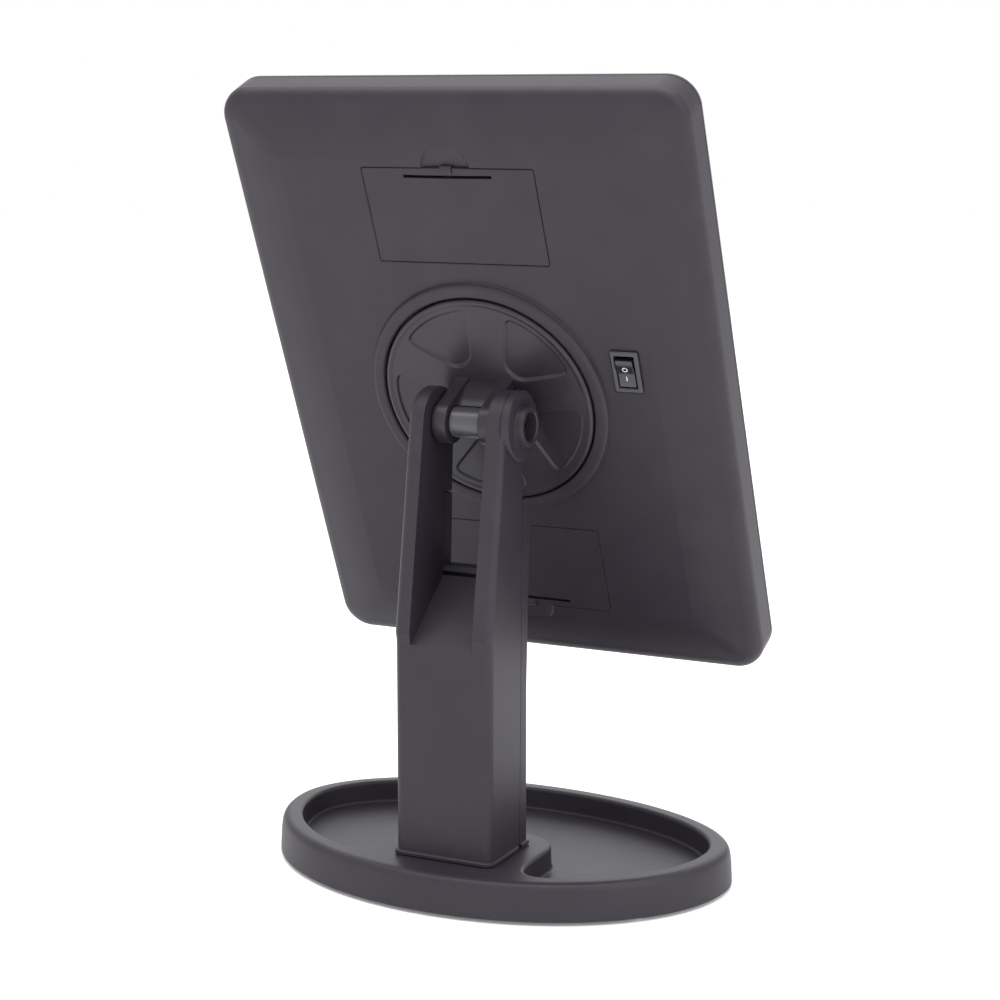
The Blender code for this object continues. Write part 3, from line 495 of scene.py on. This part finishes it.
def battery_lid(side):
    loops = ((0.0, LID_PROUD + LID_WALL), (0.0, LID_PROUD + 0.3), (-0.1, LID_PROUD + 0.1), (-0.3, LID_PROUD))
    body = loft([raised(lid_outline(side, grow), depth) for grow, depth in loops])
    far = side * (LID_INNER + SLOT_RISE)
    half = SLOT_W / 2
    bow = [(x, far + side * (0.05 - 0.12 * (1 - (x / half) ** 2))) for x in np.linspace(-half, half, 17)]
    tall = 0.55
    lower = [(x, y - tall) for x, y in bow]
    upper = [(x, y + tall) for x, y in reversed(bow)]
    body = cut(body, plate(lower + upper, -2, 4))
    edge = side * (LID_INNER + LID_H)
    hood = [(0.8, 0.35), (0.4, -0.1), (-0.2, -0.42), (-0.9, -0.5), (-1.6, -0.3), (-2.2, 0.15), (-2.2, 0.9),
            (0.8, 0.9)]
    reach = [(edge + side * (y - 0.1), z) for y, z in hood]
    tab = moved(plate(reach, -2.1, 2.1), ACROSS)
    body = add(body, tab)
    for x in (-20, 20):
        for inward, top in ((0.4, LID_WALL - 0.4), (-0.9, SHELL_WALL + 0.35)):
            low, high = sorted((side * (LID_INNER + inward), side * (LID_INNER + 1.6)))
            body = add(body, box((x - 4, low, top), (x + 4, high, SHELL_WALL + 1.2)))
    return body


def switch_housing():
    w, h = SWITCH_HALF
    loops = ((0.0, -GAP), (0.0, -0.75), (0.12, -1.0), (0.4, -1.18), (0.7, -1.2))
    body = loft([raised(rounded_rectangle(w - i, h - i, 0.8, segments=5), d) for i, d in loops])
    body = add(body, box((-4.4, -6.9, -0.8), (4.4, 6.9, 9.5)))
    well = ((0.35, -3), (0.35, -1.15), (0.1, -0.9), (0.0, -0.7), (0.0, 3.4))
    return cut(body, loft([raised(rounded_rectangle(3.4 + g, 6.05 + g, 0.5, segments=4), d) for g, d in well]))


def rocker_height(y):
    """Top of the rocker: two hollowed facets that meet in a valley, the upper one rolled over at its end."""
    lean = abs(y) / ROCKER_HALF
    height = -2.0 - ROCKER_HALF * math.tan(math.radians(PRESS)) * lean - 0.35 * lean * (lean - 1)
    return height + ROLL * max(y - ROLL_START, 0) ** 2


def rocker_side():
    top = [(y, rocker_height(y)) for y in np.linspace(-ROCKER_HALF, ROCKER_HALF, 33)]
    return top + [(5.05, 0.9), (-5.05, 0.9)]


def switch_rocker():
    body = moved(plate(rocker_side(), -3.05, 3.05), ACROSS)
    return soften(body, 0.28, 3, lambda e: e.calc_face_angle(0.0) > 0.9)


def rocker_marks():
    """Raised ring and bar that mark the two positions."""
    ring = turned([(0.68, -0.1), (0.98, -0.1), (0.98, 0.05), (0.68, 0.05)], 40)
    bar = plate(rounded_rectangle(0.16, 0.85, 0.14, segments=4), -0.1, 0.05)
    marks = bmesh.new()
    for mark, y in ((ring, 1.75), (bar, -2.0)):
        slope = rocker_height(y + 0.5) - rocker_height(y - 0.5)
        moved(mark, Matrix.Rotation(math.atan(slope), 4, "X"))
        shifted(mark, 0, y, rocker_height(y))
        marks.from_mesh(mark.data)
        bpy.data.objects.remove(mark, do_unlink=True)
    return from_bmesh(marks, "marks")


# ------------------------------------------------------------------ swivel bracket
def pocket_cutter(index):
    """Sunk field between two spokes; its floor falls away towards the hub."""
    first = math.radians(90 + SPOKE_TURN + index * 360 / SPOKES)
    sweep = 2 * math.pi / SPOKES
    inner, outer = 15.5, 35.5

    def on_arc(radius, share):
        half = SPOKE_HALF[0] + (SPOKE_HALF[1] - SPOKE_HALF[0]) * (radius - inner) / (outer - inner)
        skew = math.asin(half / radius)
        angle = first + skew + share * (sweep - 2 * skew)
        return radius * math.cos(angle), radius * math.sin(angle)

    sharp = [on_arc(outer, k / 30) for k in range(31)] + [on_arc(inner, 1 - k / 14) for k in range(15)]
    outline = relaxed(sharp, 0.5, 5.0)
    loops = []
    for grow, share in ((0.55, -4.0), (0.5, -0.02), (0.25, 0.1), (0.0, 0.4), (-0.25, 0.8), (-0.7, 1.0)):
        ring = []
        for x, y in offset(outline, grow):
            reach = min(max((outer - math.hypot(x, y)) / (outer - inner), 0), 1)
            deep = 0.7 + 0.7 * reach
            ring.append((x, y, FACE + share * deep if share > 0 else FACE + share))
        loops.append(ring)
    return loft(loops)


def swivel_disc():
    rim = [(0, FACE), (36.9, FACE), (37.3, FACE - 0.08), (37.8, FACE - 0.32), (38.3, FACE - 0.42),
           (38.9, FACE - 0.32),
           (39.35, FACE + 0.05), (DISC_R, FACE + 0.6), (DISC_R, 1.2), (39.1, 1.5), (12.1, 1.5), (12.1, 4.4), (0, 4.4)]
    body = turned(rim, 144)
    for index in range(SPOKES):
        body = cut(body, pocket_cutter(index))
    knuckle = [(HUB_R * math.cos(math.radians(a)), -PIN_HEIGHT - HUB_R * math.sin(math.radians(a)))
               for a in range(0, 181, 6)]
    left = [(-ARM_ROOT, FACE - 1.0), (-ARM_ROOT - 0.6, FACE + 0.6)]
    right = [(-x, y) for x, y in reversed(left)]
    for sign in (-1, 1):
        ends = sorted((sign * ARM[0], sign * ARM[1]))
        arm = moved(plate(knuckle + left + right, *ends), ACROSS)
        arm = soften(arm, 0.55, 3, lambda e: e.calc_face_angle(0.0) > 0.9 and abs(
            e.verts[0].co.x - e.verts[1].co.x) < 1e-6 and e.verts[0].co.z < -0.003)
        body = add(body, arm)
    flank = flowing([(8.0, FACE + 0.6), (7.5, -5.0), (6.3, -9.0), (5.3, -11.6), (4.4, -13.2)], 5)
    web = flank + [(-x, y) for x, y in reversed(flank)]
    body = add(body, moved(plate(web, -ARM[0] - 0.5, ARM[0] + 0.5), ACROSS))
    for radius, half in ((SLEEVE_R + 0.3, ARM[0]), (4.0, 20)):
        body = cut(body, lying(turned([(0, -half), (radius, -half), (radius, half), (0, half)], 64), 0, -PIN_HEIGHT))
    return body


def pivot_sleeve():
    r, half = SLEEVE_R, ARM[0] - GAP
    inner = 2.7
    return turned([(inner, -half), (r - 0.3, -half), (r, -half + 0.3), (r, half - 0.3), (r - 0.3, half),
                   (inner, half)], 96)


def pivot_bolt():
    """Socket head in one counterbore, with its shank through the fork."""
    head = [(0, -20.2), (3.6, -20.2), (4.05, -20.0), (4.2, -19.6), (4.2, -17.1), (PIN_R, -17.1), (PIN_R, 17.7),
            (PIN_R - 0.3, 18.0), (0, 18.0)]
    body = turned(head, 72)
    socket = turned([(0, -24), (2.75, -24), (2.4, -20.0), (2.4, -18.4), (0, -18.0)], 6)
    return cut(body, socket)


def pivot_nut():
    hexagon = turned([(0, 15.2), (4.25, 15.2), (4.25, 17.9), (0, 17.9)], 6)
    dome = turned([(0, 14.0), (4.4, 14.0), (4.4, 17.5), (3.75, 18.1), (0, 18.1)], 72)
    body = join(hexagon, dome, "INTERSECT")
    return cut(body, turned([(0, 10), (2.7, 10), (2.7, 17.45), (3.3, 18.35), (3.3, 25), (0, 25)], 48))


# ------------------------------------------------------------------ column
def seam_y(z, shift=0.0):
    share = (z - SEAM_LOW[1]) / (SEAM_HIGH[1] - SEAM_LOW[1])
    return SEAM_LOW[0] + share * (SEAM_HIGH[0] - SEAM_LOW[0]) + shift


def ramp_z(y, drop=0.0):
    return 90.0 + (POST_REAR - y) * 0.805 - drop


def fork_profile():
    low = SEAM_LOW[1]
    shoulder = (POST_REAR + 0.7, SHOULDER + 2)
    reach = math.hypot(shoulder[0] - PIN.y, shoulder[1] - PIN.z)
    start = math.degrees(math.atan2(shoulder[1] - PIN.z, shoulder[0] - PIN.y) + math.acos(EAR_R / reach))
    end = 360 - math.degrees(math.acos((seam_y(153.4, GAP / 2) - PIN.y) / EAR_R))
    ease = [(POST_REAR, SHOULDER - 3), (POST_REAR + 0.12, SHOULDER - 1), (POST_REAR + 0.55, SHOULDER + 1.2)]
    ease.append(shoulder)
    return [(seam_y(low, GAP / 2), low), (POST_REAR, low)] + ease + arc((PIN.y, PIN.z), EAR_R, start, end, 48)


def cover_post_hole(z, low, high, radius):
    return shifted(moved(turned([(0, low), (radius, low), (radius, high), (0, high)], 40), ALONG_Y), 0, 0, z)


def column_rear_shell():
    low = SEAM_LOW[1]
    body = side_solid(fork_profile(), POST_HALF)

    def outer_rim(edge):
        middle = (edge.verts[0].co + edge.verts[1].co) / 2 / MM
        on_side = abs(edge.verts[0].co.x - edge.verts[1].co.x) < 1e-6
        return on_side and middle.z > low + 0.5 and (middle.y > seam_y(middle.z, 1.2) or middle.z > 152)

    body = soften(body, 3.1, 7, outer_rim)
    inner = POST_REAR - 2.2
    hollow = [(4, low + 2.4), (inner, low + 2.4), (inner, ramp_z(inner, 2.8)), (4, ramp_z(4, 2.8))]
    body = cut(body, side_solid(hollow, POST_HALF - 2.2))
    pad = [(0, -1), (EAR_R + 0.3, -1), (EAR_R + 0.3, 0.9), (EAR_R + 0.1, 1.3), (EAR_R - 0.5, 1.58),
           (EAR_R - 0.9, 1.6), (7.9, 1.6), (7.4, 1.75), (7.15, 2.2), (7.1, EAR_BOSS - 0.5),
           (6.9, EAR_BOSS - 0.15), (6.5, EAR_BOSS), (0, EAR_BOSS)]
    knob = moved(turned([(r, POST_HALF + h) for r, h in pad], 120), Matrix.Rotation(math.pi, 4, "X"))
    body = add(body, lying(knob, PIN.y, PIN.z))
    step = SEAM_HIGH[1] + 0.4
    tongue = [(POST_NOSE + 0.2, step), (17.0, step), (17.0, PIN.z - 10), (12.0, PIN.z - 3),
              (PIN.y - 10.6, PIN.z - 5.1)]
    body = add(body, side_solid(tongue, FORK_HALF + TONGUE))
    floor = [(48, ramp_z(48)), (48, 200), (2, 200), (2, ramp_z(2))]
    body = cut(body, side_solid(floor, FORK_HALF))
    near = POST_HALF + EAR_BOSS
    bore = [(0, -30), (5.5, -30), (5.5, -near - 0.05), (5.1, 0.4 - near), (5.1, -16.8), (2.7, -16.8), (2.7, 14.9),
            (4.6, 14.9), (4.6, POST_HALF - 0.4), (5.0, POST_HALF + 0.05), (5.0, 30), (0, 30)]
    body = cut(body, lying(turned(bore, 96), PIN.y, PIN.z))
    mid = (seam_y(low, GAP / 2) + POST_REAR + 1.0) / 2
    skirt = ((0.2, low), (0.0, low + 0.2), (0.0, low + 1.1), (0.3, low + 1.45), (0.9, low + 1.6))
    deep = POST_REAR + 1.0 - mid
    body = add(body, loft([raised(rounded_rectangle(POST_HALF + 1.0 - i, deep - i, 3.6, (0, mid), 8), z)
                           for i, z in skirt]))
    front = box((-30, -5, low - 1), (30, seam_y(low, GAP / 2), low + 4))
    return cut(body, front)


def nose_y(z):
    share = min(max((z - 70) / 68, 0), 1)
    return POST_FRONT + share * (POST_NOSE - POST_FRONT)


COVER_SCREW_Z = (45.0, 80.0)


def column_front_cover():
    low, top = SEAM_LOW[1], SEAM_HIGH[1]
    outline = [(nose_y(low), low), (seam_y(low, -GAP / 2), low), (seam_y(top, -GAP / 2), top),
               (nose_y(138) + 1.4, top), (nose_y(138) + 0.5, top - 0.5), (nose_y(138), top - 2.0), (nose_y(70), 70)]
    body = side_solid(outline, POST_HALF)

    def nose_rim(edge):
        middle = (edge.verts[0].co + edge.verts[1].co) / 2 / MM
        on_side = abs(edge.verts[0].co.x - edge.verts[1].co.x) < 1e-6
        return on_side and low + 0.5 < middle.z < top - 2.2 and middle.y < seam_y(middle.z, -1.2)

    body = soften(body, 1.5, 6, nose_rim)
    hollow = [(nose_y(low) + 1.8, low + 2), (20, low + 2), (20, LIP_Z - 2), (nose_y(LIP_Z) + 1.8, LIP_Z - 2),
              (nose_y(70) + 1.8, 70)]
    body = cut(body, side_solid(hollow, POST_HALF - 2.2))
    body = cut(body, box((-FORK_HALF, 0, LIP_Z), (FORK_HALF, 30, top + 10)))
    mid = (POST_FRONT - 1.0 + seam_y(low, -GAP / 2)) / 2
    skirt = ((0.2, low), (0.0, low + 0.2), (0.0, low + 1.1), (0.3, low + 1.45), (0.9, low + 1.6))
    half = seam_y(low, -GAP / 2) - mid
    body = add(body, loft([raised(rounded_rectangle(POST_HALF + 1.0 - i, half + 2 - i, 1.2, (0, mid + 2), 5), z)
                           for i, z in skirt]))
    body = cut(body, box((-30, seam_y(low, -GAP / 2), low - 1), (30, 30, low + 1.9)))
    for z in COVER_SCREW_Z:
        body = cut(body, cover_post_hole(z, 0, 30, 1.7), cover_post_hole(z, 0, nose_y(z) + 1.15, 3.1))
    return body


def screw(head_r, head_h, shank_r, length):
    """Self-tapping screw: domed head with a cross recess, and a shank ringed by its thread, up local Z."""
    dome = [(0, 0), (head_r * 0.45, 0.03), (head_r * 0.8, 0.16), (head_r * 0.97, 0.4), (head_r, head_h),
            (shank_r, head_h)]
    thread = []
    height = head_h + 0.4
    while height < head_h + length - 0.8:
        thread += [(shank_r * 0.8, height), (shank_r, height + 0.2), (shank_r * 0.8, height + 0.4)]
        height += 0.7
    body = turned(dome + thread + [(shank_r * 0.6, head_h + length - 0.4), (0, head_h + length)], 40)
    arm = head_r * 0.55
    for low, high in (((-arm, -0.3, -1), (arm, 0.3, 0.45)), ((-0.3, -arm, -1), (0.3, arm, 0.45))):
        body = cut(body, box(low, high))
    return body


# ------------------------------------------------------------------ foot
def recess_outline():
    """Edge of the sunk tray: the oval inside the rim, less the island of the column, eased where the two meet."""
    oval = plate(foot_outline(RIM_W), 0, 10)
    mid = (ISLAND_FRONT + 80) / 2
    oval = cut(oval, plate(rounded_rectangle(ISLAND_HALF, 80 - mid, ISLAND_CORNER, (0, mid), 24), -2, 12))
    top = max(oval.data.polygons, key=lambda p: p.normal.z * p.area)
    points = [oval.data.vertices[index].co / MM for index in top.vertices]
    outline = [(p.x, p.y) for p in points]
    bpy.data.objects.remove(oval, do_unlink=True)
    area = sum(a[0] * b[1] - b[0] * a[1] for a, b in zip(outline, outline[1:] + outline[:1]))
    points = np.array(relaxed(outline if area > 0 else outline[::-1], 1.0, 3.0))
    reach = np.minimum(*(np.hypot(points[:, 0] - x, points[:, 1] - ISLAND_MEETS_RIM)
                         for x in (-ISLAND_HALF, ISLAND_HALF)))
    weight = np.clip(1 - reach / EASE_REACH, 0, 1)[:, None]
    for _ in range(EASE_PASSES):
        points += 0.5 * weight * ((np.roll(points, 1, 0) + np.roll(points, -1, 0)) / 2 - points)
    return [tuple(point) for point in points]


def base_tray():
    side = flowing([(0.0, FOOT_LOW), (0.15, 5.0), (0.55, 10.4), (1.0, 12.5), (1.9, 13.75), (3.4, 14.28)], 4)
    body = loft([raised(foot_outline(inset), z) for inset, z in side + [(4.6, FOOT_TOP)]])
    outline = recess_outline()
    walls = [(1.3, FOOT_TOP + 4), (1.3, FOOT_TOP - 0.02), (0.85, FOOT_TOP - 0.1), (0.4, FOOT_TOP - 0.35),
             (0.12, FOOT_TOP - 0.75), (0.0, FOOT_TOP - 1.3), (-0.15, TRAY_FLOOR + 1.2), (-0.3, TRAY_FLOOR + 0.6),
             (-0.65, TRAY_FLOOR + 0.18), (-1.25, TRAY_FLOOR)]
    body = cut(body, loft([raised(offset(outline, grow), z) for grow, z in walls]))
    body = cut(body, plate(foot_outline(2.4), -1, TRAY_FLOOR - 1.7))
    for x in (-9.0, 9.0):
        hole = turned([(0, 5), (1.8, 5), (1.8, FOOT_TOP + 4), (0, FOOT_TOP + 4)], 32)
        body = cut(body, shifted(hole, x, 26.0))
    return body


def bottom_cover():
    loops = ((0.4, 2.5), (0.0, 2.1), (0.0, 1.6), (0.3, 1.3))
    body = loft([raised(foot_outline(2.8 + inset), z) for inset, z in loops])
    for x, y in BASE_SCREWS:
        hole = turned([(0, 0), (3.1, 0), (3.1, 1.75), (1.8, 1.75), (1.8, 4), (0, 4)], 32)
        body = cut(body, shifted(hole, x, y))
    return body


def non_slip_pad():
    """Rubber pad with a border and a field of low ribs underneath."""
    def outline(inset):
        return [((x * 0.8) * (1 - inset / 60), -9 + (y * 0.8 + 9) * (1 - inset / 45))
                for x, y in foot_outline(12, 96)]
    body = loft([raised(outline(0.3), 0.0), raised(outline(0.0), 0.3), raised(outline(0.0), 1.0)])
    field = outline(3.5)
    body = cut(body, plate(field, -1, 0.45))
    ribs = bmesh.new()
    for k in range(-11, 12):
        x = k * 4.6
        inside = [p for p in field if abs(p[0] - x) < 3.0]
        low, high = min(p[1] for p in inside) + 1.0, max(p[1] for p in inside) - 1.0
        rib = box((x - 0.8, low, 0.05), (x + 0.8, high, 0.7))
        ribs.from_mesh(rib.data)
        bpy.data.objects.remove(rib, do_unlink=True)
    return add(body, from_bmesh(ribs, "ribs"))


BASE_SCREWS = [foot_outline(4.3, 40)[index] for index in (4, 16, 23, 37)]


# ------------------------------------------------------------------ assembly
SHELL = "shell_plastic"
finish(rear_cover(), "shell_back", "mirror_head", SHELL, ["rear_cover"], HEAD)
finish(front_bezel(), "bezel_frame", "mirror_head", SHELL, ["front_bezel"], HEAD)
finish(mirror_glass(), "mirror_pane", "mirror_head", "mirror_glass", ["mirror_glass"], HEAD)
finish(light_windows(), "light_windows", "mirror_head", "frosted_plastic", (), HEAD)
finish(battery_lid(1), "lid_top", "lid_upper", SHELL, ["battery_lid_upper"], HEAD)
finish(battery_lid(-1), "lid_bottom", "lid_lower", SHELL, ["battery_lid_lower"], HEAD)

switch_frame = HEAD @ Matrix.Translation(Vector((*SWITCH_AT, 0)) * MM)
finish(switch_housing(), "switch_surround", "mirror_head", "black_plastic", ["switch_housing"], switch_frame)
pressed = switch_frame @ Matrix.Translation((0, 0, 1.0 * MM)) @ Matrix.Rotation(math.radians(-PRESS), 4, "X")
finish(switch_rocker(), "rocker_cap", "rocker", "black_plastic", ["switch_rocker"], pressed)
finish(rocker_marks(), "rocker_marks", "rocker", "black_plastic", (), pressed, PRINT)

finish(swivel_disc(), "swivel_plate", "swivel_bracket", SHELL, ["swivel_disc"], HEAD, SATIN)
pin_frame = HEAD @ Matrix.Translation((0, 0, -PIN_HEIGHT * MM))
finish(lying(pivot_sleeve()), "sleeve_tube", "swivel_bracket", "steel", ["pivot_sleeve"], pin_frame, PAINTED)

finish(column_rear_shell(), "post_shell", "stand", SHELL, ["column_rear_shell"])
finish(column_front_cover(), "post_cover", "stand", SHELL, ["column_front_cover"])
finish(lying(pivot_bolt(), PIN.y, PIN.z), "bolt_socket_head", "stand", "steel", ["pivot_bolt"], None, BLACK_OXIDE)
finish(lying(pivot_nut(), PIN.y, PIN.z), "hex_nut", "stand", "steel", ["pivot_nut"])
finish(base_tray(), "tray_foot", "stand", SHELL, ["base_tray"])
finish(bottom_cover(), "tray_underside", "stand", "inner_plastic", ["base_bottom_cover"])
finish(non_slip_pad(), "grip_pad", "stand", "rubber_pad", ["non_slip_pad"])
for index, (x, y) in enumerate(BASE_SCREWS, 1):
    piece = shifted(screw(2.8, 0.8, 1.1, 7.0), x, y, 0.25)
    finish(piece, f"under_screw_{index}", "stand", "steel", [f"base_screw_{index}"])
for index, z in enumerate(COVER_SCREW_Z, 1):
    piece = shifted(moved(screw(2.8, 0.9, 1.1, 12.0), ALONG_Y), 0, nose_y(z) + 0.05, z)
    finish(piece, f"front_screw_{index}", "stand", "steel", [f"cover_screw_{index}"])


# ------------------------------------------------------------------ studio
def floor():
    bm = bmesh.new()
    bmesh.ops.create_grid(bm, x_segments=2, y_segments=2, size=4.0)
    obj = from_bmesh(bm, "floor")
    mat = bpy.data.materials.new("floor_white")
    mat.use_nodes = True
    tree = mat.node_tree
    shader = tree.nodes["Principled BSDF"]
    shader.inputs["Roughness"].default_value = 0.9
    shader.inputs["Emission Color"].default_value = (1, 1, 1, 1)
    shader.inputs["Emission Strength"].default_value = 0.12
    place = node(tree, "ShaderNodeTexCoord", (-900, 0))
    noise = node(tree, "ShaderNodeTexNoise", (-700, 0), Scale=2.0)
    tint = node(tree, "ShaderNodeValToRGB", (-450, 0))
    tint.color_ramp.elements[0].color = (0.88, 0.88, 0.88, 1)
    tint.color_ramp.elements[1].color = (0.92, 0.92, 0.92, 1)
    tree.links.new(place.outputs["Object"], noise.inputs["Vector"])
    tree.links.new(noise.outputs["Fac"], tint.inputs["Fac"])
    tree.links.new(tint.outputs["Color"], shader.inputs["Base Color"])
    obj.data.materials.append(mat)
    obj.location.z = -0.0002


def lamp(name, place, target, size, power, colour=(1, 1, 1)):
    data = bpy.data.lights.new(name, "AREA")
    data.shape = "RECTANGLE"
    data.size, data.size_y = size
    data.energy = power
    data.color = colour
    obj = bpy.data.objects.new(name, data)
    bpy.context.scene.collection.objects.link(obj)
    obj.location = place
    obj.rotation_euler = (Vector(target) - Vector(place)).to_track_quat("-Z", "Y").to_euler()


LIGHTS = {
    "top": ((0.0, 0.15, 1.6), (0, 0, 0.1), (1.6, 1.6), 24.0),
    "key_right": ((-1.5, 0.55, 0.9), (0, 0, 0.15), (1.2, 1.4), 9.0),
    "fill_rear": ((0.2, 2.0, 0.7), (0, 0, 0.15), (1.6, 1.2), 1.5),
    "front": ((0.6, -1.6, 0.9), (0, 0, 0.15), (1.4, 1.4), 8.0),
}
WORLD = 1.0

floor()
for label, (place, target, size, power) in LIGHTS.items():
    lamp(label, place, target, size, power)

world = bpy.data.worlds.new("studio")
world.use_nodes = True
world.node_tree.nodes["Background"].inputs["Color"].default_value = (1, 1, 1, 1)
world.node_tree.nodes["Background"].inputs["Strength"].default_value = WORLD
bpy.context.scene.world = world
bpy.context.scene.view_settings.view_transform = "Standard"

yaw, pitch = math.radians(25.88), math.radians(9.93)
right = Vector((-math.cos(yaw), -math.sin(yaw), 0))
back = Vector((-math.sin(yaw) * math.cos(pitch), math.cos(yaw) * math.cos(pitch), math.sin(pitch)))
up = back.cross(right)
camera_data = bpy.data.cameras.new("camera")
camera_data.lens = 81.56
camera_data.sensor_width = 36.0
camera_data.clip_end = 20.0
camera = bpy.data.objects.new("camera", camera_data)
bpy.context.scene.collection.objects.link(camera)
turn = Matrix((right, up, back)).transposed().to_4x4()
camera.matrix_world = Matrix.Translation((-0.34686, 0.70873, 0.2735)) @ turn
bpy.context.scene.camera = camera
